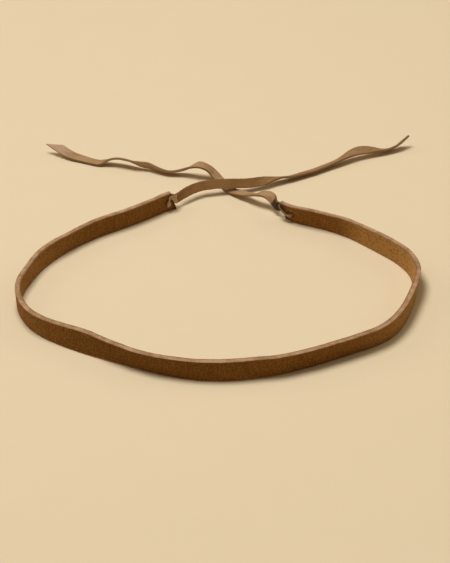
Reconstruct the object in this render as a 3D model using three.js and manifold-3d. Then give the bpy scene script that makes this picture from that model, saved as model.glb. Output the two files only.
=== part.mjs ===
// A leather headband: one C-shaped strap that stands on its lower edge, and two flat leather ties,
// each looped through a punched hole at one end of the strap. Millimetres, +Z up.
// The origin is on the surface under the middle of the strap, which opens towards +Y.
import * as THREE from "three";
import { mergeVertices } from "three/addons/utils/BufferGeometryUtils.js";
import Module from "manifold-3d";

// Driving dimensions
const STRAP_HEIGHT = 12;
const STRAP_THICKNESS = 3;
const STRAP_STEP = 4.5;
const LEFT_END_SLANT = 3.6;
const RIGHT_END_SLANT = 1.8;
const HOLE_DIAMETER = 4.2;
const LEFT_HOLE_FROM_END = 5.5;
const RIGHT_HOLE_FROM_END = 4.4;
const HOLE_SIDES = 20;
const TIE_WIDTH = 5.6;
const TIE_THICKNESS = 1.3;
const TIE_CHAMFER = 0.3;
const TIE_STEP = 4;
const CUT_REACH = 8;
const LOOP_WIDTH = 3;
const LEFT_LOOP_SLACK = 0.4;
const RIGHT_LOOP_SLACK = 1.7;
const GAP = 0.3;

const UP = new THREE.Vector3(0, 0, 1);

// The strap's lower edge: x, y and the outward lean of its face in degrees, from the left end round
// the front to the right end.
const STRAP_ROUTE = [
  [-24.8, 80.7, -2], [-28.2, 79.4, -3], [-32.0, 77.2, -4], [-37.5, 73.0, -5], [-45.0, 67.3, -5],
  [-53.5, 61.5, -5], [-70.0, 50.5, -2], [-85.0, 37.5, -4],
  [-97.0, 22.0, 3], [-105.5, 4.0, -2], [-108.0, -6.0, 0], [-107.5, -16.0, 2], [-104.5, -25.5, 3],
  [-99.5, -34.0, 3], [-93.0, -41.0, -2], [-83.5, -48.0, -10], [-75.0, -53.0, -13],
  [-66.0, -57.5, -11], [-49.0, -65.0, 3], [-40.0, -68.5, 8], [-30.0, -72.5, 6], [-11.5, -77.5, -1],
  [0.0, -78.5, -4], [10.0, -78.0, -5], [20.0, -76.0, -2], [30.0, -73.5, 3], [47.0, -67.0, 6],
  [66.0, -57.5, 9], [84.0, -48.0, 6], [91.5, -41.5, 2], [97.0, -33.5, 0], [103.5, -16.0, 3],
  [107.5, 4.0, 7], [106.5, 13.5, 5], [101.5, 23.5, 5], [89.0, 37.0, 3], [74.5, 50.5, -3],
  [65.0, 57.0, -8], [56.0, 61.5, -11], [49.5, 64.1, -12], [45.4, 65.9, -13], [42.1, 68.0, -15],
  [39.4, 70.8, -19],
];

// The ties' middle lines, from the strap outwards: x, y, z and the roll in degrees, which is 0 where
// a tie lies flat and 90 where it stands on edge with its left-hand edge up.
const LEFT_TIE_ROUTE = [
  [-23.0, 82.7, 6.4, 78], [-19.2, 86.4, 6.8, 62], [-14.7, 90.1, 7.0, 56], [-10.5, 92.7, 7.0, 54],
  [-2.0, 95.0, 6.9, 50], [7.0, 96.5, 6.4, 50], [17.0, 98.6, 5.3, 47], [22.0, 100.5, 4.8, 42],
  [27.0, 102.6, 4.4, 20], [31.5, 105.0, 4.0, -10], [36.5, 107.4, 3.4, -30], [41.5, 109.3, 2.6, -30],
  [46.5, 111.9, 2.2, -26], [51.0, 114.3, 2.1, -24], [56.0, 117.0, 2.0, -22], [62.5, 121.2, 2.2, -24],
  [69.5, 125.5, 2.8, -26], [74.0, 128.4, 3.8, -20], [79.0, 131.6, 5.0, 4], [84.0, 134.0, 5.4, 24],
  [88.5, 135.7, 4.8, 20], [93.5, 137.6, 3.8, -4], [98.5, 139.1, 2.6, -25], [103.5, 141.0, 2.4, -40],
  [107.5, 143.0, 3.2, -46], [109.6, 144.8, 4.2, -46], [111.7, 146.8, 5.2, -46],
];
const RIGHT_TIE_ROUTE = [
  [34.6, 72.2, 6.6, -86], [33.2, 73.0, 6.7, -84], [32.0, 75.4, 7.2, -74], [30.8, 78.3, 8.0, -48],
  [28.8, 80.6, 8.6, -20], [26.0, 82.0, 8.7, -2], [23.2, 83.2, 7.9, 8], [20.3, 85.4, 5.8, 16],
  [16.8, 88.4, 4.0, 8], [12.0, 92.0, 2.8, 0], [7.5, 96.2, 1.5, 0], [4.0, 101.2, 0.9, 0],
  [1.0, 106.5, 1.4, 0], [-2.8, 110.6, 3.8, -5], [-5.8, 111.8, 6.6, -10], [-9.0, 112.0, 8.6, -8],
  [-12.2, 112.6, 9.0, -4], [-15.5, 113.6, 7.4, 12], [-19.5, 114.7, 4.8, 30], [-24.0, 115.2, 3.0, 34],
  [-29.0, 115.4, 2.3, 34], [-33.0, 116.4, 2.5, 40], [-37.5, 118.1, 3.0, 56], [-42.0, 120.0, 3.6, 66],
  [-46.5, 121.1, 4.0, 58], [-50.5, 122.2, 4.6, 42], [-55.0, 123.8, 5.2, 34], [-59.5, 125.3, 5.2, 33],
  [-63.5, 126.2, 4.4, 30], [-67.5, 126.6, 2.6, 20], [-71.5, 126.8, 1.2, 4], [-75.5, 128.2, 1.1, 2],
  [-81.5, 130.6, 1.6, -4], [-88.5, 133.2, 2.6, -16], [-95.0, 137.0, 4.5, -31], [-99.0, 139.4, 6.2, -34],
];

// How far each tie's slanting cut runs on past the last point at its left-hand edge, and falls
// short of it at the other.
const LEFT_TIE_CUT = -3;
const RIGHT_TIE_CUT = 4.4;

// A smooth line through hand-set rows. The last number of a row is an angle that runs along the
// line, and frameAt turns a tangent and that angle into the two directions of the section.
class Route extends THREE.CatmullRomCurve3 {
  constructor(rows, frameAt) {
    super(rows.map(([x, y, z]) => new THREE.Vector3(x, y, z)), false, "centripetal");
    const angles = rows.map((row) => new THREE.Vector3(THREE.MathUtils.degToRad(row[3]), 0, 0));
    this.angles = new THREE.CatmullRomCurve3(angles, false, "catmullrom");
    this.frameAt = frameAt;
  }

  frame(u) {
    const t = this.getUtoTmapping(u);
    const tangent = this.getTangent(t);
    return { tangent, ...this.frameAt(tangent, this.angles.getPoint(t).x, u) };
  }

  computeFrenetFrames(steps) {
    const frames = { tangents: [], normals: [], binormals: [] };
    for (let i = 0; i <= steps; i++) {
      const { tangent, across, along } = this.frame(i / steps);
      frames.tangents.push(tangent);
      frames.normals.push(across);
      frames.binormals.push(along);
    }
    return frames;
  }
}

// The strap's section: inwards across its thickness, and up its leaning face. Both ends are cut at
// a slant, so that the upper corner is set back on the left and stands out on the right.
function strapFrame(tangent, lean, u) {
  const across = UP.clone().cross(tangent).normalize();
  const along = UP.clone().addScaledVector(across, -Math.tan(lean));
  if (u === 0) along.addScaledVector(tangent, LEFT_END_SLANT / STRAP_HEIGHT);
  if (u === 1) along.addScaledVector(tangent, RIGHT_END_SLANT / STRAP_HEIGHT);
  return { across, along };
}

// A tie's section: across its width, and through its thickness.
function tieFrame(tangent, roll) {
  const level = UP.clone().cross(tangent).normalize();
  const across = level.clone().applyAxisAngle(tangent, roll);
  const along = tangent.clone().cross(across);
  return { across, along };
}

function sweep(shape, route, step) {
  const steps = Math.round(route.getLength() / step);
  return new THREE.ExtrudeGeometry(shape, { extrudePath: route, steps });
}

function rectangle(width, low, high) {
  const shape = new THREE.Shape();
  shape.moveTo(-width / 2, low);
  shape.lineTo(width / 2, low);
  shape.lineTo(width / 2, high);
  shape.lineTo(-width / 2, high);
  shape.closePath();
  return shape;
}

function chamferedRectangle(width, thickness, chamfer) {
  const w = width / 2;
  const t = thickness / 2;
  const shape = new THREE.Shape();
  shape.moveTo(-w + chamfer, -t);
  shape.lineTo(w - chamfer, -t);
  shape.lineTo(w, -t + chamfer);
  shape.lineTo(w, t - chamfer);
  shape.lineTo(w - chamfer, t);
  shape.lineTo(-w + chamfer, t);
  shape.lineTo(-w, t - chamfer);
  shape.lineTo(-w, -t + chamfer);
  shape.closePath();
  return shape;
}

function merged(geometry) {
  const bare = geometry.clone();
  bare.deleteAttribute("normal");
  bare.deleteAttribute("uv");
  return mergeVertices(bare);
}

function toSolid(geometry) {
  const welded = merged(geometry);
  const mesh = new wasm.Mesh({
    numProp: 3,
    vertProperties: Float32Array.from(welded.attributes.position.array),
    triVerts: Uint32Array.from(welded.index.array),
  });
  return new wasm.Manifold(mesh);
}

function toGeometry(solid) {
  const { vertProperties, triVerts } = solid.getMesh();
  const geometry = new THREE.BufferGeometry();
  geometry.setAttribute("position", new THREE.BufferAttribute(vertProperties, 3));
  geometry.setIndex(new THREE.BufferAttribute(triVerts, 1));
  geometry.computeVertexNormals();
  return geometry;
}

// The place of a strap end's hole: X runs on to the strap's end, Y across the strap and Z up its face.
function holePlace(route, atRightEnd) {
  const fromEnd = atRightEnd ? RIGHT_HOLE_FROM_END : LEFT_HOLE_FROM_END;
  const share = fromEnd / route.getLength();
  const u = atRightEnd ? 1 - share : share;
  const { tangent, along } = route.frame(u);
  const onward = tangent.clone().multiplyScalar(atRightEnd ? 1 : -1);
  const face = along.clone().normalize();
  const through = face.clone().cross(onward).normalize();
  const upright = onward.clone().cross(through);
  const middle = route.getPointAt(u).addScaledVector(along, STRAP_HEIGHT / 2);
  return new THREE.Matrix4().makeBasis(onward, through, upright).setPosition(middle);
}

function strapMesh(route, holePlaces, material) {
  const blank = sweep(rectangle(STRAP_THICKNESS, 0, STRAP_HEIGHT), route, STRAP_STEP);
  let solid = toSolid(blank);
  for (const place of holePlaces) {
    const punch = new THREE.CylinderGeometry(
      HOLE_DIAMETER / 2, HOLE_DIAMETER / 2, 4 * STRAP_THICKNESS, HOLE_SIDES);
    solid = solid.subtract(toSolid(punch.applyMatrix4(place)));
  }
  return named("strap", toGeometry(solid), material);
}

// The part of a tie that goes through the hole and round the strap's end, as one closed band. The
// reach is from the middle of the hole to the inside of the band's far turn.
function loopMesh(name, place, reach, material) {
  const clearance = STRAP_THICKNESS / 2 + 2 * GAP;
  const outside = clearance + TIE_THICKNESS;
  const nearEnd = -TIE_THICKNESS / 2;
  const farEnd = reach + TIE_THICKNESS;
  const round = TIE_THICKNESS;
  const band = new THREE.Shape();
  band.moveTo(nearEnd + round, -outside);
  band.lineTo(farEnd - round, -outside);
  band.quadraticCurveTo(farEnd, -outside, farEnd, -outside + round);
  band.lineTo(farEnd, outside - round);
  band.quadraticCurveTo(farEnd, outside, farEnd - round, outside);
  band.lineTo(nearEnd + round, outside);
  band.quadraticCurveTo(nearEnd, outside, nearEnd, outside - round);
  band.lineTo(nearEnd, -outside + round);
  band.quadraticCurveTo(nearEnd, -outside, nearEnd + round, -outside);
  const inside = new THREE.Path();
  inside.moveTo(nearEnd + TIE_THICKNESS, -clearance);
  inside.lineTo(farEnd - TIE_THICKNESS, -clearance);
  inside.lineTo(farEnd - TIE_THICKNESS, clearance);
  inside.lineTo(nearEnd + TIE_THICKNESS, clearance);
  inside.closePath();
  band.holes.push(inside);
  const geometry = new THREE.ExtrudeGeometry(band, {
    depth: LOOP_WIDTH, bevelEnabled: false, curveSegments: 4 });
  geometry.translate(0, 0, -LOOP_WIDTH / 2);
  geometry.applyMatrix4(place);
  return named(name, geometry, material);
}

// The free length of a tie. Its last sections lean over, so that it runs on at one edge and falls
// short at the other.
function tailMesh(name, rows, cut, material) {
  const route = new Route(rows, (tangent, roll, u) => {
    const frame = tieFrame(tangent, roll);
    const share = Math.max(0, 1 - (1 - u) * route.getLength() / CUT_REACH);
    frame.across.addScaledVector(tangent, share * 2 * cut / TIE_WIDTH);
    return frame;
  });
  const section = chamferedRectangle(TIE_WIDTH, TIE_THICKNESS, TIE_CHAMFER);
  return named(name, sweep(section, route, TIE_STEP), material);
}

function named(name, geometry, material) {
  const mesh = new THREE.Mesh(geometry, material);
  mesh.name = name;
  return mesh;
}

const wasm = await Module();
wasm.setup();

const strapLeather = new THREE.MeshStandardMaterial({ color: 0x6b4a2a, roughness: 0.85, metalness: 0 });
const tieLeather = new THREE.MeshStandardMaterial({ color: 0x8a6642, roughness: 0.8, metalness: 0 });

const strapRoute = new Route(STRAP_ROUTE.map(([x, y, lean]) => [x, y, 0, lean]), strapFrame);
const leftHole = holePlace(strapRoute, false);
const rightHole = holePlace(strapRoute, true);

const headband = new THREE.Group();
headband.add(strapMesh(strapRoute, [leftHole, rightHole], strapLeather));
const leftReach = LEFT_HOLE_FROM_END + LEFT_LOOP_SLACK;
const rightReach = RIGHT_HOLE_FROM_END + RIGHT_LOOP_SLACK;
headband.add(loopMesh("left_tie_loop", leftHole, leftReach, tieLeather));
headband.add(loopMesh("right_tie_loop", rightHole, rightReach, tieLeather));
headband.add(tailMesh("left_tie_tail", LEFT_TIE_ROUTE, LEFT_TIE_CUT, tieLeather));
headband.add(tailMesh("right_tie_tail", RIGHT_TIE_ROUTE, RIGHT_TIE_CUT, tieLeather));

export default headband;
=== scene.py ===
"""A leather headband: one C-shaped strap on its lower edge, and two flat leather ties that are
looped through a punched hole at each end of the strap. Metres, +Z up, open towards +Y."""

import math

import bmesh
import bpy
import numpy as np
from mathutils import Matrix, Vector, noise


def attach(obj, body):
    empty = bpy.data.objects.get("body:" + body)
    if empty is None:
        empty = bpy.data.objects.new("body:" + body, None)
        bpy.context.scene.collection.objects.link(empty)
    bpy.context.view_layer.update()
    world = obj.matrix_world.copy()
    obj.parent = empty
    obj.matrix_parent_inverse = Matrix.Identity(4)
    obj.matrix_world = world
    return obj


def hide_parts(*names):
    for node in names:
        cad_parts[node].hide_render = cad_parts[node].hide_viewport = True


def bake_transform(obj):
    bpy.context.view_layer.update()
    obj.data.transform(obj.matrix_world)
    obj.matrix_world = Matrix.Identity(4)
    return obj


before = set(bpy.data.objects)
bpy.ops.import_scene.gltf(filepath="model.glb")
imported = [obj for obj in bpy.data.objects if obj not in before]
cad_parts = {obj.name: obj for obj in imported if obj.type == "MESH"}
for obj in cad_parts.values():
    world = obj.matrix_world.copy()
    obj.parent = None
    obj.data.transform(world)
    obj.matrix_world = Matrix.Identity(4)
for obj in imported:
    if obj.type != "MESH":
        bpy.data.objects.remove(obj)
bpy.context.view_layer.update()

# Driving dimensions, the same as the CAD part's.
STRAP_HEIGHT = 0.012
STRAP_THICKNESS = 0.003
LEFT_END_SLANT = 0.0036
RIGHT_END_SLANT = 0.0018
HOLE_RADIUS = 0.0021
LEFT_HOLE_FROM_END = 0.0055
RIGHT_HOLE_FROM_END = 0.0044
TIE_WIDTH = 0.0056
TIE_THICKNESS = 0.0013
RIGHT_LOOP_SLACK = 0.0017
LEFT_TIE_CUT = -0.003
RIGHT_TIE_CUT = 0.0044

# How far along the strap the slant of an end reaches.
SLANT_REACH = 0.0052

# Width of the raw cut that shows beside a strap's edge and beside a tie's.
STRAP_CUT_BAND = 0.0004
TIE_CUT_BAND = 0.0003

# Closer to an end or a face than this counts as on it.
TINY = 1e-6

UP = np.array([0.0, 0.0, 1.0])

# The strap's lower edge: x, y and the outward lean of its face in degrees, from the left end round
# the front to the right end.
STRAP_ROUTE = [
    (-0.0248, 0.0807, -2), (-0.0282, 0.0794, -3), (-0.032, 0.0772, -4), (-0.0375, 0.073, -5),
    (-0.045, 0.0673, -5), (-0.0535, 0.0615, -5), (-0.07, 0.0505, -2), (-0.085, 0.0375, -4),
    (-0.097, 0.022, 3), (-0.1055, 0.004, -2), (-0.108, -0.006, 0), (-0.1075, -0.016, 2),
    (-0.1045, -0.0255, 3), (-0.0995, -0.034, 3), (-0.093, -0.041, -2), (-0.0835, -0.048, -10),
    (-0.075, -0.053, -13), (-0.066, -0.0575, -11), (-0.049, -0.065, 3), (-0.04, -0.0685, 8),
    (-0.03, -0.0725, 6), (-0.0115, -0.0775, -1), (0.0, -0.0785, -4), (0.01, -0.078, -5),
    (0.02, -0.076, -2), (0.03, -0.0735, 3), (0.047, -0.067, 6), (0.066, -0.0575, 9), (0.084, -0.048, 6),
    (0.0915, -0.0415, 2), (0.097, -0.0335, 0), (0.1035, -0.016, 3), (0.1075, 0.004, 7),
    (0.1065, 0.0135, 5), (0.1015, 0.0235, 5), (0.089, 0.037, 3), (0.0745, 0.0505, -3),
    (0.065, 0.057, -8), (0.056, 0.0615, -11), (0.0495, 0.0641, -12), (0.0454, 0.0659, -13),
    (0.0421, 0.068, -15), (0.0394, 0.0708, -19),
]

# The ties' middle lines, from the strap outwards: x, y, z and the roll in degrees, which is 0 where
# a tie lies flat and 90 where it stands on edge with its left-hand edge up.
LEFT_TIE_ROUTE = [
    (-0.023, 0.0827, 0.0064, 78), (-0.0192, 0.0864, 0.0068, 62), (-0.0147, 0.0901, 0.007, 56),
    (-0.0105, 0.0927, 0.007, 54), (-0.002, 0.095, 0.0069, 50), (0.007, 0.0965, 0.0064, 50),
    (0.017, 0.0986, 0.0053, 47), (0.022, 0.1005, 0.0048, 42), (0.027, 0.1026, 0.0044, 20),
    (0.0315, 0.105, 0.004, -10), (0.0365, 0.1074, 0.0034, -30), (0.0415, 0.1093, 0.0026, -30),
    (0.0465, 0.1119, 0.0022, -26), (0.051, 0.1143, 0.0021, -24), (0.056, 0.117, 0.002, -22),
    (0.0625, 0.1212, 0.0022, -24), (0.0695, 0.1255, 0.0028, -26), (0.074, 0.1284, 0.0038, -20),
    (0.079, 0.1316, 0.005, 4), (0.084, 0.134, 0.0054, 24), (0.0885, 0.1357, 0.0048, 20),
    (0.0935, 0.1376, 0.0038, -4), (0.0985, 0.1391, 0.0026, -25), (0.1035, 0.141, 0.0024, -40),
    (0.1075, 0.143, 0.0032, -46), (0.1096, 0.1448, 0.0042, -46), (0.1117, 0.1468, 0.0052, -46),
]
RIGHT_TIE_ROUTE = [
    (0.0346, 0.0722, 0.0066, -86), (0.0332, 0.073, 0.0067, -84), (0.032, 0.0754, 0.0072, -74),
    (0.0308, 0.0783, 0.008, -48), (0.0288, 0.0806, 0.0086, -20), (0.026, 0.082, 0.0087, -2),
    (0.0232, 0.0832, 0.0079, 8), (0.0203, 0.0854, 0.0058, 16), (0.0168, 0.0884, 0.004, 8),
    (0.012, 0.092, 0.0028, 0), (0.0075, 0.0962, 0.0015, 0), (0.004, 0.1012, 0.0009, 0),
    (0.001, 0.1065, 0.0014, 0), (-0.0028, 0.1106, 0.0038, -5), (-0.0058, 0.1118, 0.0066, -10),
    (-0.009, 0.112, 0.0086, -8), (-0.0122, 0.1126, 0.009, -4), (-0.0155, 0.1136, 0.0074, 12),
    (-0.0195, 0.1147, 0.0048, 30), (-0.024, 0.1152, 0.003, 34), (-0.029, 0.1154, 0.0023, 34),
    (-0.033, 0.1164, 0.0025, 40), (-0.0375, 0.1181, 0.003, 56), (-0.042, 0.12, 0.0036, 66),
    (-0.0465, 0.1211, 0.004, 58), (-0.0505, 0.1222, 0.0046, 42), (-0.055, 0.1238, 0.0052, 34),
    (-0.0595, 0.1253, 0.0052, 33), (-0.0635, 0.1262, 0.0044, 30), (-0.0675, 0.1266, 0.0026, 20),
    (-0.0715, 0.1268, 0.0012, 4), (-0.0755, 0.1282, 0.0011, 2), (-0.0815, 0.1306, 0.0016, -4),
    (-0.0885, 0.1332, 0.0026, -16), (-0.095, 0.137, 0.0045, -31), (-0.099, 0.1394, 0.0062, -34),
]


# ---------------------------------------------------------------- routes and their sections


def catmull_rom(values, gaps, fine=40):
    """A smooth line through values, with a gap in its own measure between each two."""
    values = np.vstack([2 * values[0] - values[1], values, 2 * values[-1] - values[-2]])
    gaps = np.concatenate([gaps[:1], gaps, gaps[-1:]])
    line = []
    for i in range(1, len(values) - 2):
        before, start, end, after = values[i - 1:i + 3]
        gap0, gap1, gap2 = gaps[i - 1:i + 2]
        leave = (start - before) / gap0 - (end - before) / (gap0 + gap1) + (end - start) / gap1
        arrive = (end - start) / gap1 - (after - start) / (gap1 + gap2) + (after - end) / gap2
        leave, arrive = leave * gap1, arrive * gap1
        t = np.linspace(0, 1, fine, endpoint=False)[:, None]
        square, cube = t * t, t * t * t
        line.append(start + leave * t + (3 * (end - start) - 2 * leave - arrive) * square
                    + (2 * (start - end) + leave + arrive) * cube)
    line.append(values[-2:-1])
    return np.vstack(line)


def unit(vectors):
    return vectors / np.linalg.norm(vectors, axis=-1, keepdims=True)


class Route:
    """A smooth line through rows of x, y, z and an angle in degrees, read by the distance along it."""

    def __init__(self, rows):
        points = np.array([row[:3] for row in rows])
        angles = np.radians([[row[3]] for row in rows])
        gaps = np.sqrt(np.linalg.norm(np.diff(points, axis=0), axis=1))
        self.line = catmull_rom(points, gaps)
        self.angle = catmull_rom(angles, np.ones(len(gaps)))[:, 0]
        self.distance = np.concatenate(
            [[0], np.cumsum(np.linalg.norm(np.diff(self.line, axis=0), axis=1))])
        self.length = self.distance[-1]
        self.tangent = unit(np.gradient(self.line, self.distance, axis=0))

    def at(self, s):
        """Points, tangents and angles at distances s. The line runs straight on past its ends."""
        inside = np.clip(s, 0, self.length)
        read = [np.interp(inside, self.distance, column) for column in (*self.line.T, *self.tangent.T)]
        points, tangents = np.stack(read[:3], axis=-1), unit(np.stack(read[3:], axis=-1))
        points = points + tangents * (s - inside)[..., None]
        return points, tangents, np.interp(inside, self.distance, self.angle)


def strap_place(route, p):
    """From the strap's own coordinates (along, up its face, inwards) to the row frame."""
    points, tangents, lean = route.at(p[:, 0])
    inward = unit(np.cross(UP, tangents))
    face = UP - inward * np.tan(lean)[:, None]
    return points + face * p[:, 1:2] + inward * p[:, 2:3]


def tie_axes(tangents, roll):
    level = unit(np.cross(UP, tangents))
    across = level * np.cos(roll)[..., None] + np.cross(tangents, level) * np.sin(roll)[..., None]
    return across, np.cross(tangents, across)


def tie_place(route, p):
    """From a tie's own coordinates (along, across its width, through it) to the row frame."""
    points, tangents, roll = route.at(p[:, 0])
    across, upward = tie_axes(tangents, roll)
    return points + across * p[:, 1:2] + upward * p[:, 2:3]


# ---------------------------------------------------------------- meshes


def roughness_of(points, size, seed):
    """Smooth noise from -1 to 1 with features of that size, the same on every run."""
    shift = Vector((seed * 17.3, seed * 5.1, seed * 9.7))
    return np.array([noise.noise(Vector(p) / size + shift) for p in points.tolist()])


def spaced(low, high, step, rim):
    """Values from low to high, a step apart, and closer within the rim at each end."""
    inner = np.linspace(low + rim, high - rim, max(2, round((high - low - 2 * rim) / step) + 1))
    return np.concatenate([[low, low + 0.3 * rim], inner, [high - 0.3 * rim, high]])


class Surface:
    """Quads between nodes of a box-shaped grid, in a strip's own coordinates."""

    def __init__(self, axes, windows=()):
        self.axes, self.windows = axes, windows
        self.points, self.quads, self.known = [], [], {}
        last = [len(axis) - 1 for axis in axes]
        for side in range(3):
            a, b = [axis for axis in range(3) if axis != side]
            for i in range(last[a]):
                for j in range(last[b]):
                    if side == 2 and self.in_window(i, j):
                        continue
                    for end in (0, last[side]):
                        self.quads.append([self.node(side, a, b, i + di, j + dj, end)
                                           for di, dj in ((0, 0), (1, 0), (1, 1), (0, 1))])

    def in_window(self, i, j):
        return any(w[0] <= i < w[1] and w[2] <= j < w[3] for w in self.windows)

    def node(self, side, a, b, i, j, end):
        key = [0, 0, 0]
        key[a], key[b], key[side] = i, j, end
        return self.at_key(tuple(key))

    def at_key(self, key):
        if key not in self.known:
            self.known[key] = self.add([self.axes[axis][key[axis]] for axis in range(3)])
        return self.known[key]

    def add(self, point):
        self.points.append(point)
        return len(self.points) - 1

    def punch(self, window, centre, rings):
        """Joins the two faces round a window by rings of (share of circle, radius, depth)."""
        i0, i1, j0, j1 = window
        around = [(i, j0) for i in range(i0, i1)] + [(i1, j) for j in range(j0, j1)]
        around += [(i, j1) for i in range(i1, i0, -1)] + [(i0, j) for j in range(j1, j0, -1)]
        corners = np.array([[self.axes[0][i], self.axes[1][j]] for i, j in around])
        outward = unit(corners - centre)
        loops = [[self.at_key((i, j, 0)) for i, j in around]]
        for share, radius, depth in rings:
            flat = corners * (1 - share) + (centre + outward * radius) * share
            loops.append([self.add([*spot, depth]) for spot in flat])
        loops.append([self.at_key((i, j, len(self.axes[2]) - 1)) for i, j in around])
        for first, second in zip(loops, loops[1:]):
            for n in range(len(around)):
                m = (n + 1) % len(around)
                self.quads.append([first[n], first[m], second[m], second[n]])


def rounded(p, low, high, radius):
    """Points on a box drawn in to a box with round edges."""
    inner = np.clip(p, low + radius, high - radius)
    away = p - inner
    far = np.maximum(np.linalg.norm(away, axis=1, keepdims=True), 1e-12)
    return inner + away * np.minimum(1, radius / far)


def make_piece(name, points, quads, grain, raw, material):
    """A smooth mesh that carries its own coordinates and where its surface is a raw cut."""
    mesh = bpy.data.meshes.new(name)
    mesh.from_pydata(points.tolist(), [], quads)
    mesh.attributes.new("grain", "FLOAT_VECTOR", "POINT").data.foreach_set(
        "vector", grain.astype(np.float32).ravel())
    mesh.attributes.new("raw", "FLOAT", "POINT").data.foreach_set("value", raw.astype(np.float32))
    turned = bmesh.new()
    turned.from_mesh(mesh)
    bmesh.ops.recalc_face_normals(turned, faces=turned.faces)
    turned.to_mesh(mesh)
    turned.free()
    mesh.shade_smooth()
    mesh.materials.append(material)
    piece = bpy.data.objects.new(name, mesh)
    bpy.context.scene.collection.objects.link(piece)
    return piece


def near_cut(distance, band):
    """1 on a raw cut, falling to 0 one band away from it."""
    return np.clip(1.25 - distance / band, 0, 1)


# ---------------------------------------------------------------- the ties


def make_tail(name, rows, cut, back, seed, material):
    """The free length of a tie: a thin strip that twists, a little cupped, with a slanting cut end.
    It begins a length back from its route's start, inside the fold that it comes from."""
    route = Route(rows)
    half_width, half_thick, rim = TIE_WIDTH / 2, TIE_THICKNESS / 2, 0.00028
    axes = [spaced(-back, route.length, 0.0006, rim), spaced(-half_width, half_width, 0.0005, rim),
            spaced(-half_thick, half_thick, 0.0004, rim)]
    surface = Surface(axes)
    grain = np.array(surface.points)
    high = np.array([route.length, half_width, half_thick])
    low = np.array([-back, -half_width, -half_thick])
    p = rounded(grain, low, high, rim)
    s, over = grain[:, 0], grain[:, 1] / half_width
    along_only = np.stack([s, 0 * s, 0 * s], axis=1)
    # Wider and narrower along its length, with frayed edges.
    p[:, 1] *= 1 + 0.035 * roughness_of(along_only, 0.009, seed)
    p[:, 1] += 0.00012 * roughness_of(grain, 0.0016, seed + 1) * np.abs(over) ** 6
    # Cupped one way and then the other, with a fine pebble.
    p[:, 2] += 0.00028 * over ** 2 * roughness_of(along_only, 0.018, seed + 2)
    p[:, 2] += 0.00005 * roughness_of(grain, 0.0009, seed + 3)
    # The slanting cut at the tip, which fades out along the tie, and its fibres.
    reach = 1.6 * abs(cut) + 0.001
    p[:, 0] += cut * over * np.clip(1 - (route.length - s) / reach, 0, 1) ** 1.3
    p[:, 0] += 0.00015 * roughness_of(grain, 0.0011, seed + 4) * (s > route.length - TINY)
    raw = near_cut(np.minimum(half_width - np.abs(grain[:, 1]), route.length - s), TIE_CUT_BAND)
    piece = make_piece(name, tie_place(route, p), surface.quads, grain, raw, material)
    path = route.at(np.arange(0, route.length, 0.0015))[0].tolist() + [route.line[-1].tolist()]
    return piece, route, path


# ---------------------------------------------------------------- materials


def rgb(red, green, blue):
    return (red, green, blue, 1.0)


class Shader:
    """A node material, built by calls that take numbers, colours or other nodes' outputs."""

    def __init__(self, name):
        self.material = bpy.data.materials.new(name)
        self.material.use_nodes = True
        self.tree = self.material.node_tree
        self.tree.nodes.clear()

    def node(self, kind, out=0, settings=(), **inputs):
        """A new node's output. Inputs go by name, as Base_Color, or by number, as _6."""
        made = self.tree.nodes.new(kind)
        for key, value in dict(settings).items():
            setattr(made, key, value)
        for key, value in inputs.items():
            place = int(key[1:]) if key[1:].isdigit() else key.replace("_", " ")
            socket = made.inputs[place]
            if isinstance(value, bpy.types.NodeSocket):
                self.tree.links.new(value, socket)
            else:
                socket.default_value = value
        return made.outputs[out]

    def attribute(self, name, out):
        return self.node("ShaderNodeAttribute", out, {"attribute_name": name})

    def stretched(self, vector, scale):
        return self.node("ShaderNodeVectorMath", 0, {"operation": "MULTIPLY"}, _0=vector, _1=scale)

    def noise(self, vector, scale, detail=3.0, rough=0.55):
        return self.node("ShaderNodeTexNoise", 0, Vector=vector, Scale=scale, Detail=detail,
                         Roughness=rough)

    def ramp(self, value, low, high, to_low=0.0, to_high=1.0):
        return self.node("ShaderNodeMapRange", 0, {"interpolation_type": "SMOOTHSTEP"}, Value=value,
                         From_Min=low, From_Max=high, To_Min=to_low, To_Max=to_high)

    def math(self, operation, a, b):
        return self.node("ShaderNodeMath", 0, {"operation": operation}, _0=a, _1=b)

    def scaled(self, value, factor, offset):
        return self.node("ShaderNodeMath", 0, {"operation": "MULTIPLY_ADD"},
                         _0=value, _1=factor, _2=offset)

    def stretch_of(self, along, start, full, still, end, share):
        """A share that rises from start to full and falls from still to end."""
        rising = self.ramp(along, start, full, 0.0, share)
        return self.math("MULTIPLY", rising, self.ramp(along, still, end, 1.0, 0.0))

    def axis(self, vector, letter):
        return self.node("ShaderNodeSeparateXYZ", "XYZ".index(letter), Vector=vector)

    def mix(self, share, a, b):
        return self.node("ShaderNodeMix", 2, {"data_type": "RGBA"}, _0=share, _6=a, _7=b)

    def bump(self, height, strength, depth, normal=None):
        made = self.node("ShaderNodeBump", 0, Height=height, Strength=strength, Distance=depth)
        if normal is not None:
            self.tree.links.new(normal, made.node.inputs["Normal"])
        return made

    def finish(self, colour, rough, normal=None, **fixed):
        if normal is not None:
            fixed["Normal"] = normal
        surface = self.node("ShaderNodeBsdfPrincipled", 0, Base_Color=colour, Roughness=rough, **fixed)
        output = self.tree.nodes.new("ShaderNodeOutputMaterial")
        self.tree.links.new(surface, output.inputs["Surface"])
        return self.material


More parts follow.
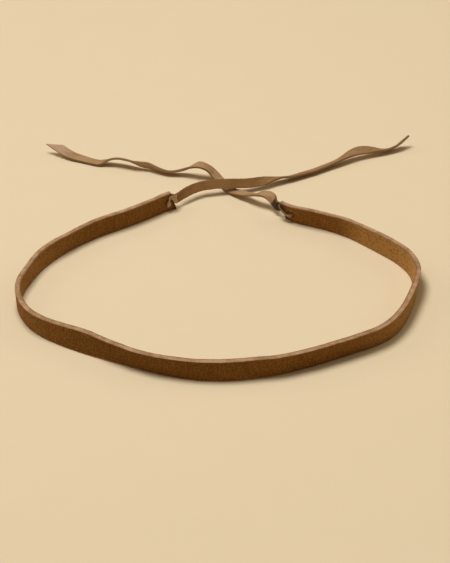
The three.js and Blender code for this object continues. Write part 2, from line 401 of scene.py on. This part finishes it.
def strap_leather():
    """Matt brown leather with a fine pebble and faint streaks up its face, pale and fibrous at cuts."""
    s = Shader("strap_leather")
    grain = s.attribute("grain", 1)
    patch = s.noise(grain, 70.0, 2.0)
    blotch = s.noise(grain, 420.0, 3.0, 0.6)
    pebble = s.noise(grain, 1300.0, 4.0, 0.65)
    streak = s.noise(s.stretched(grain, (1500.0, 170.0, 1500.0)), 1.0, 2.0)
    face = s.mix(s.ramp(pebble, 0.38, 0.62), rgb(0.152, 0.059, 0.009), rgb(0.380, 0.178, 0.040))
    face = s.mix(s.ramp(blotch, 0.40, 0.70, 0.0, 0.22), face, rgb(0.165, 0.058, 0.008))
    face = s.mix(s.ramp(patch, 0.35, 0.7, 0.0, 0.35), face, rgb(0.340, 0.150, 0.032))
    face = s.mix(s.ramp(streak, 0.42, 0.66, 0.0, 0.38), face, rgb(0.115, 0.044, 0.007))
    # Painted light and shade along the strap: lighter where light falls on the right side and the left,
    # painted shade at the front left, and a painted golden highlight in its tightest bend: where each
    # begins, is full, stops and ends along the strap, and its share.
    along = s.axis(grain, "X")
    for stretch, share, light_and_shade_tone in (
            ((0.325, 0.388, 0.462, 0.484), 0.70, rgb(0.500, 0.258, 0.076)),
            ((0.060, 0.100, 0.150, 0.180), 0.30, rgb(0.470, 0.240, 0.072)),
            ((0.170, 0.200, 0.240, 0.290), 0.22, rgb(0.115, 0.044, 0.007)),
            ((0.395, 0.405, 0.415, 0.430), 0.35, rgb(0.640, 0.350, 0.075))):
        face = s.mix(s.stretch_of(along, *stretch, share), face, light_and_shade_tone)
    speck = s.noise(grain, 850.0, 2.0, 0.5)
    face = s.mix(s.ramp(speck, 0.50, 0.64, 0.0, 0.55), face, rgb(0.150, 0.058, 0.010))
    # Darker at both ends: painted shade, where the loops shade the strap's ends.
    for start, full in ((0.0030, 0.0004), (0.5100, 0.5125)):
        face = s.mix(s.ramp(along, start, full, 0.0, 0.75), face, rgb(0.060, 0.024, 0.006))
    # The cut shows pale fibre, and the darker skin along its inner side.
    fibre = s.noise(s.stretched(grain, (700.0, 2400.0, 2400.0)), 1.0, 3.0, 0.65)
    fade = s.noise(grain, 190.0, 3.0, 0.6)
    core = s.mix(s.ramp(fibre, 0.3, 0.7), rgb(0.300, 0.156, 0.072), rgb(0.490, 0.300, 0.165))
    core = s.mix(s.ramp(fade, 0.42, 0.66, 0.0, 0.65), core, rgb(0.560, 0.360, 0.215))
    core = s.mix(s.ramp(fade, 0.48, 0.30, 0.0, 0.50), core, rgb(0.250, 0.122, 0.052))
    skin = s.math("ADD", s.axis(grain, "Z"), s.scaled(s.noise(grain, 260.0, 2.0), 0.0016, -0.0008))
    core = s.mix(s.ramp(skin, 0.0003, 0.0012, 0.0, 0.75), core, rgb(0.215, 0.102, 0.038))
    wander = s.scaled(s.noise(grain, 1300.0, 2.0), 1.1, -0.55)
    share = s.ramp(s.math("ADD", s.attribute("raw", 2), wander), 0.35, 0.65)
    colour = s.mix(share, face, core)
    normal = s.bump(pebble, 0.9, 0.00032)
    normal = s.bump(fibre, 0.25, 0.0001, normal)
    return s.finish(colour, s.ramp(pebble, 0.3, 0.7, 0.95, 0.75), normal, Specular_IOR_Level=0.10)


def tie_leather(name, light_and_shade_tone, before, after=0.0, change_at=1.0, fade=0.001, tip_highlight_from=1.0, tip_highlight=0.0):
    """Thin tan lace with fine lines along it and darker cut edges. A tone of painted light and shade
    covers it by one share before a distance along it and by another share after, and a pale painted
    highlight covers it from a third distance."""
    s = Shader(name)
    grain = s.attribute("grain", 1)
    patch = s.noise(grain, 130.0, 2.0)
    lines = s.noise(s.stretched(grain, (160.0, 1700.0, 1700.0)), 1.0, 3.0, 0.6)
    spots = s.noise(grain, 1300.0, 3.0, 0.6)
    face = s.mix(s.ramp(lines, 0.3, 0.7), rgb(0.300, 0.168, 0.068), rgb(0.500, 0.312, 0.155))
    face = s.mix(s.ramp(patch, 0.40, 0.66, 0.0, 0.5), face, rgb(0.480, 0.295, 0.150))
    face = s.mix(s.ramp(patch, 0.48, 0.30, 0.0, 0.4), face, rgb(0.270, 0.142, 0.055))
    face = s.mix(s.ramp(spots, 0.48, 0.75, 0.0, 0.40), face, rgb(0.225, 0.112, 0.042))
    along = s.axis(grain, "X")
    # Painted light and shade: a tone over the lace, by one share before change_at and by another after.
    face = s.mix(s.ramp(along, change_at + fade, change_at - fade, after, before), face, light_and_shade_tone)
    # A pale painted highlight towards the tip.
    face = s.mix(s.ramp(along, tip_highlight_from, tip_highlight_from + 0.010, 0.0, tip_highlight), face, rgb(0.620, 0.410, 0.280))
    share = s.ramp(s.attribute("raw", 2), 0.3, 0.9, 0.0, 0.7)
    colour = s.mix(share, face, rgb(0.225, 0.118, 0.050))
    normal = s.bump(lines, 0.35, 0.00012)
    normal = s.bump(spots, 0.3, 0.00008, normal)
    return s.finish(colour, s.ramp(spots, 0.3, 0.7, 0.75, 0.60), normal, Specular_IOR_Level=0.25)


# ---------------------------------------------------------------- strap and loops


def hole_rings(half_thick, rim):
    """From the outer face to the inner one: out of the grid, over a worn rim and through the strap."""
    wide, wall = HOLE_RADIUS + rim, HOLE_RADIUS
    half = [(0.4, wide, -half_thick), (0.75, wide, -half_thick), (1, wide, -half_thick),
            (1, wall + 0.3 * rim, 0.3 * rim - half_thick), (1, wall, rim - half_thick)]
    return half + [(1, wall, 0.0)] + [(share, radius, -depth) for share, radius, depth in half[::-1]]


def make_strap(route, material):
    """The strap: a strip on its edge with round corners, raw edges and slanting ends."""
    half_thick, rim, step = STRAP_THICKNESS / 2, 0.00035, 0.0006
    axes = [spaced(0, route.length, step, rim), spaced(0, STRAP_HEIGHT, step, rim),
            spaced(-half_thick, half_thick, 0.0005, rim)]
    centres = [np.array([LEFT_HOLE_FROM_END, STRAP_HEIGHT / 2]),
               np.array([route.length - RIGHT_HOLE_FROM_END, STRAP_HEIGHT / 2])]
    reach = HOLE_RADIUS + 2 * step
    windows = []
    for s, h in centres:
        along = np.searchsorted(axes[0], (s - reach, s + reach))
        upward = np.searchsorted(axes[1], (h - reach, h + reach))
        windows.append([int(v) for v in (*along, *upward)])
    surface = Surface(axes, windows)
    for window, centre in zip(windows, centres):
        surface.punch(window, centre, hole_rings(half_thick, rim))
    grain = np.array(surface.points)
    high = np.array([route.length, STRAP_HEIGHT, half_thick])
    p = rounded(grain, high * [0, 0, -1], high, rim)
    s, h = grain[:, 0], grain[:, 1] / STRAP_HEIGHT
    # Wavy faces with a fine pebble.
    face = np.abs(grain[:, 2]) > half_thick - TINY
    p[:, 2] += 0.00016 * roughness_of(grain * [1, 1, 0], 0.011, 1)
    p[:, 2] += 0.00005 * np.sign(grain[:, 2]) * face * roughness_of(grain, 0.0013, 2)
    # A hand-cut top edge that wanders, fibres on both edges, and a lower edge that lifts in places.
    p[:, 1] += 0.00022 * h * roughness_of(grain * [1, 0, 0], 0.012, 3)
    p[:, 1] += 0.00010 * h ** 8 * roughness_of(grain, 0.0012, 4)
    p[:, 1] += 0.00010 * (1 - h) ** 8 * np.abs(roughness_of(grain, 0.0012, 5))
    p[:, 1] += 0.00045 * (1 - h) ** 3 * np.maximum(0, roughness_of(grain * [1, 0, 0], 0.022, 7))
    # Ends with fibres, cut at a slant.
    ends = (s < TINY) | (s > route.length - TINY)
    p[:, 0] += 0.00012 * ends * roughness_of(grain, 0.0012, 6)
    p[:, 0] += LEFT_END_SLANT * h * np.clip(1 - s / SLANT_REACH, 0, 1)
    p[:, 0] += RIGHT_END_SLANT * h * np.clip(1 - (route.length - s) / SLANT_REACH, 0, 1)
    # Raw by the edges and round the holes, wider in places by the lower edge, where its pale colour is
    # partly raw fibre and partly a painted light line, and weaker on the end cuts, as painted shade
    # there.
    from_holes = [np.abs(np.hypot(s - c[0], grain[:, 1] - c[1]) - HOLE_RADIUS) for c in centres]
    lower = grain[:, 1] / (1 + 2.2 * np.maximum(0, roughness_of(grain * [1, 0, 0], 0.030, 9)))
    gap = np.minimum.reduce([lower, STRAP_HEIGHT - grain[:, 1], *from_holes])
    end_gap = np.minimum(s, route.length - s)
    raw = np.maximum(near_cut(gap, STRAP_CUT_BAND), 0.45 * near_cut(end_gap, STRAP_CUT_BAND))
    return make_piece("strap_leather_band", strap_place(route, p), surface.quads, grain, raw, material)


def hole_axes(route, at_right_end):
    """Middle of an end's hole, with the ways on to the end, outwards through the strap, and up."""
    s = np.array([route.length - RIGHT_HOLE_FROM_END if at_right_end else LEFT_HOLE_FROM_END])
    points, tangents, lean = route.at(s)
    inward = unit(np.cross(UP, tangents))[0]
    face = UP - inward * math.tan(lean[0])
    middle = points[0] + face * STRAP_HEIGHT / 2
    onward = tangents[0] if at_right_end else -tangents[0]
    return middle, onward, -inward, unit(face)


# A turn of a hitch: onward past the strap's end, outward through it, up, width, thickness, and the lean
# of its width in degrees. The first three are measured from the middle of the hole.


def left_turns():
    """Bunched in the hole, up the inner face, flat down the slanting end, and back on the outer face."""
    end, lean = LEFT_HOLE_FROM_END - LEFT_END_SLANT / 2, -17
    return [
        (0.0000, 0.0000, -0.0008, 0.0026, 0.0026, 0),
        (-0.0002, -0.0019, -0.0011, 0.0027, 0.0024, 30),
        (-0.0003, -0.0025, -0.0002, 0.0027, 0.0012, 85),
        (-0.0002, -0.0024, 0.0012, 0.0014, 0.0011, 80),
        (0.0000, -0.0024, 0.0026, 0.0009, 0.0010, 80),
        (0.0010, -0.0022, 0.0037, 0.0020, 0.0010, 20),
        (end - 0.0006, -0.0022, 0.0028, 0.0034, 0.0009, lean),
        (end + 0.0011, -0.0016, 0.0012, 0.0054, 0.0009, lean),
        (end + 0.0016, 0.0001, 0.0008, 0.0054, 0.0010, lean),
        (end + 0.0012, 0.0017, 0.0006, 0.0052, 0.0011, lean),
        (end - 0.0007, 0.0024, 0.0004, 0.0044, 0.0012, 0),
        (0.0020, 0.0026, 0.0000, 0.0034, 0.0014, 0),
        (0.0006, 0.0024, 0.0000, 0.0032, 0.0018, 0),
        (0.0000, 0.0014, -0.0002, 0.0028, 0.0024, 0),
    ]


def right_turns():
    """Bunched in the hole, then thin and slack past the end and round to the outer face."""
    end = RIGHT_HOLE_FROM_END + RIGHT_LOOP_SLACK + 0.0004
    return [
        (0.0000, 0.0000, -0.0006, 0.0026, 0.0022, 0),
        (0.0002, -0.0018, -0.0010, 0.0020, 0.0018, 0),
        (0.0014, -0.0026, -0.0010, 0.0013, 0.0012, 0),
        (0.0032, -0.0027, -0.0002, 0.0012, 0.0011, 0),
        (end - 0.0014, -0.0024, 0.0011, 0.0012, 0.0011, 8),
        (end + 0.0006, -0.0016, 0.0022, 0.0018, 0.0011, 8),
        (end + 0.0013, 0.0002, 0.0016, 0.0036, 0.0011, 8),
        (end + 0.0006, 0.0018, 0.0008, 0.0044, 0.0012, 8),
        (end - 0.0012, 0.0025, 0.0002, 0.0040, 0.0013, 4),
        (0.0026, 0.0026, 0.0000, 0.0034, 0.0014, 0),
        (0.0008, 0.0024, 0.0000, 0.0032, 0.0018, 0),
        (0.0000, 0.0014, -0.0002, 0.0028, 0.0022, 0),
    ]


def make_loop(name, axes, turns, seed, material):
    """A tie's closed loop through the hole and round the strap's end."""
    middle, onward, outward, up = axes
    # Two turns are repeated at each end, so that the line closes smoothly.
    extra, fine = 2, 12
    knots = np.array([turns[i % len(turns)] for i in range(-extra, len(turns) + extra + 1)])
    gaps = np.sqrt(np.linalg.norm(np.diff(knots[:, :3], axis=0), axis=1))
    ring = catmull_rom(knots, gaps, fine)[extra * fine:-extra * fine - 1]
    line = middle + ring[:, 0:1] * onward + ring[:, 1:2] * outward + ring[:, 2:3] * up
    tangents = unit(np.roll(line, -1, axis=0) - np.roll(line, 1, axis=0))
    lean = np.radians(ring[:, 5:6])
    wide = np.cos(lean) * up + np.sin(lean) * onward
    across = unit(wide - tangents * np.sum(tangents * wide, axis=1, keepdims=True))
    through = np.cross(tangents, across)
    # The section is between an ellipse and a rectangle.
    sides, squareness = 28, 0.55
    turn = np.arange(sides) * 2 * math.pi / sides
    w, t = [0.5 * np.sign(v) * np.abs(v) ** squareness for v in (np.cos(turn), np.sin(turn))]
    travelled = np.cumsum(np.linalg.norm(np.diff(line, axis=0, prepend=line[:1]), axis=1))
    points, grain = [], []
    for i in range(len(line)):
        width, thick = ring[i, 3], ring[i, 4]
        for a, b in zip(w, t):
            points.append(line[i] + across[i] * a * width + through[i] * b * thick)
            grain.append([travelled[i], a * width, b * thick])
    points, grain = np.array(points), np.array(grain)
    points += 0.00006 * roughness_of(points, 0.0009, seed)[:, None] * up
    quads = []
    for i in range(len(line)):
        for j in range(sides):
            here, there = i * sides, (i + 1) % len(line) * sides
            quads.append([here + j, here + (j + 1) % sides, there + (j + 1) % sides, there + j])
    raw = np.tile(np.clip(np.abs(np.cos(turn)) * 3 - 2, 0, 1), len(line))
    return make_piece(name, points, quads, grain, raw, material)


# ---------------------------------------------------------------- camera, floor and light


def make_camera():
    """Above the front of the headband, looking 36 degrees down."""
    down, away = math.radians(36), 1.12
    target = Vector((0.0035, 0.008, 0))
    camera = bpy.data.objects.new("camera", bpy.data.cameras.new("camera"))
    camera.data.sensor_fit = "HORIZONTAL"
    camera.data.sensor_width = 36
    camera.data.lens = 162.8
    camera.location = target + away * Vector((0, -math.cos(down), math.sin(down)))
    camera.rotation_euler = (math.pi / 2 - down, 0, 0)
    bpy.context.scene.collection.objects.link(camera)
    bpy.context.scene.camera = camera


def make_floor():
    """A plain pale table top."""
    s = Shader("plain_floor")
    spots = s.noise(s.node("ShaderNodeTexCoord", 3), 40.0, 2.0)
    colour = s.mix(s.ramp(spots, 0.3, 0.7), rgb(0.800, 0.656, 0.450), rgb(0.804, 0.660, 0.454))
    material = s.finish(colour, 0.9, Specular_IOR_Level=0.0)
    mesh = bpy.data.meshes.new("floor")
    far = 12.0
    corners = [(-far, -far, 0), (far, -far, 0), (far, far, 0), (-far, far, 0)]
    mesh.from_pydata(corners, [], [(0, 1, 2, 3)])
    mesh.materials.append(material)
    floor = bpy.data.objects.new("floor", mesh)
    bpy.context.scene.collection.objects.link(floor)


def make_lamp(name, place, radius, strength, colour):
    """A soft round lamp whose light does not weaken with distance."""
    lamp = bpy.data.lights.new(name, "POINT")
    lamp.shadow_soft_size = radius
    lamp.energy = 1.0
    lamp.use_nodes = True
    tree = lamp.node_tree
    even = tree.nodes.new("ShaderNodeLightFalloff")
    even.inputs["Strength"].default_value = strength
    glow = tree.nodes["Emission"]
    glow.inputs["Color"].default_value = colour
    tree.links.new(even.outputs["Constant"], glow.inputs["Strength"])
    lamp_object = bpy.data.objects.new(name, lamp)
    lamp_object.location = place
    bpy.context.scene.collection.objects.link(lamp_object)


def make_light():
    """A soft lamp high at the left, a wide one overhead, weak low ones at both sides and a fill."""
    white, warm = rgb(1.0, 1.0, 1.0), rgb(1.0, 0.93, 0.76)
    make_lamp("key", (-0.184, 0.096, 0.85), 0.190, 27.5, white)
    make_lamp("overhead", (0.0, 0.12, 1.10), 0.50, 3.8, warm)
    make_lamp("low_left", (-1.00, 0.32, 0.62), 0.40, 5.0, warm)
    make_lamp("low_right", (1.05, 0.45, 0.60), 0.40, 5.0, warm)
    world = bpy.data.worlds.new("fill")
    world.use_nodes = True
    background = world.node_tree.nodes["Background"]
    background.inputs["Color"].default_value = rgb(1.0, 0.80, 0.48)
    background.inputs["Strength"].default_value = 0.125
    bpy.context.scene.world = world
    bpy.context.scene.view_settings.view_transform = "Standard"


# ---------------------------------------------------------------- the scene

make_camera()
make_light()
make_floor()

strap_material = strap_leather()
# The left tie: painted shade, heavier over its first 62 mm, and a faint painted highlight at its tip.
left_lace = tie_leather("left_tie_leather", rgb(0.203, 0.080, 0.008), before=0.70, after=0.36,
                        change_at=0.062, fade=0.015, tip_highlight_from=0.152, tip_highlight=0.3)
# The right tie: painted shade over its first 5.6 mm, where it stands on edge behind the strap's end, and
# a painted highlight at its tip.
right_lace = tie_leather("right_tie_leather", rgb(0.036, 0.015, 0.004), before=0.96, after=0.05,
                         change_at=0.0056, tip_highlight_from=0.150, tip_highlight=0.6)
left_tail, left_route, left_path = make_tail(
    "left_tie_lace", LEFT_TIE_ROUTE, LEFT_TIE_CUT, 0.0026, 20, left_lace)
right_tail, right_route, right_path = make_tail(
    "right_tie_lace", RIGHT_TIE_ROUTE, RIGHT_TIE_CUT, 0.0010, 40, right_lace)

strap_route = Route([(x, y, 0, lean) for x, y, lean in STRAP_ROUTE])
# The left loop is painted lighter: painted light on the band that wraps the strap's slanting end.
left_hitch_leather = tie_leather("left_hitch_leather", rgb(0.620, 0.430, 0.270), before=0.35)
# The right loop is painted dark after its first 8 mm: painted shade where it wraps the strap's end and
# lies on the outer face.
right_hitch_leather = tie_leather("right_hitch_leather", rgb(0.050, 0.022, 0.006), before=0.0,
                                  after=0.80, change_at=0.0082)
left_loop = make_loop(
    "left_tie_hitch", hole_axes(strap_route, False), left_turns(), 61, left_hitch_leather)
right_loop = make_loop(
    "right_tie_hitch", hole_axes(strap_route, True), right_turns(), 62, right_hitch_leather)

# A distance along each tie's route; the point there is read and not used.
BEND = 0.010
left_route.at(np.array([BEND]))[0][0]
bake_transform(left_tail)
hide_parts("left_tie_tail")
right_route.at(np.array([BEND]))[0][0]
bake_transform(right_tail)
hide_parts("right_tie_tail")

for loop, body, node in (
        (left_loop, "left_loop", "left_tie_loop"),
        (right_loop, "strap", "right_tie_loop")):
    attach(loop, body)
    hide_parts(node)

strap = make_strap(strap_route, strap_material)
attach(strap, "strap")
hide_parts("strap")
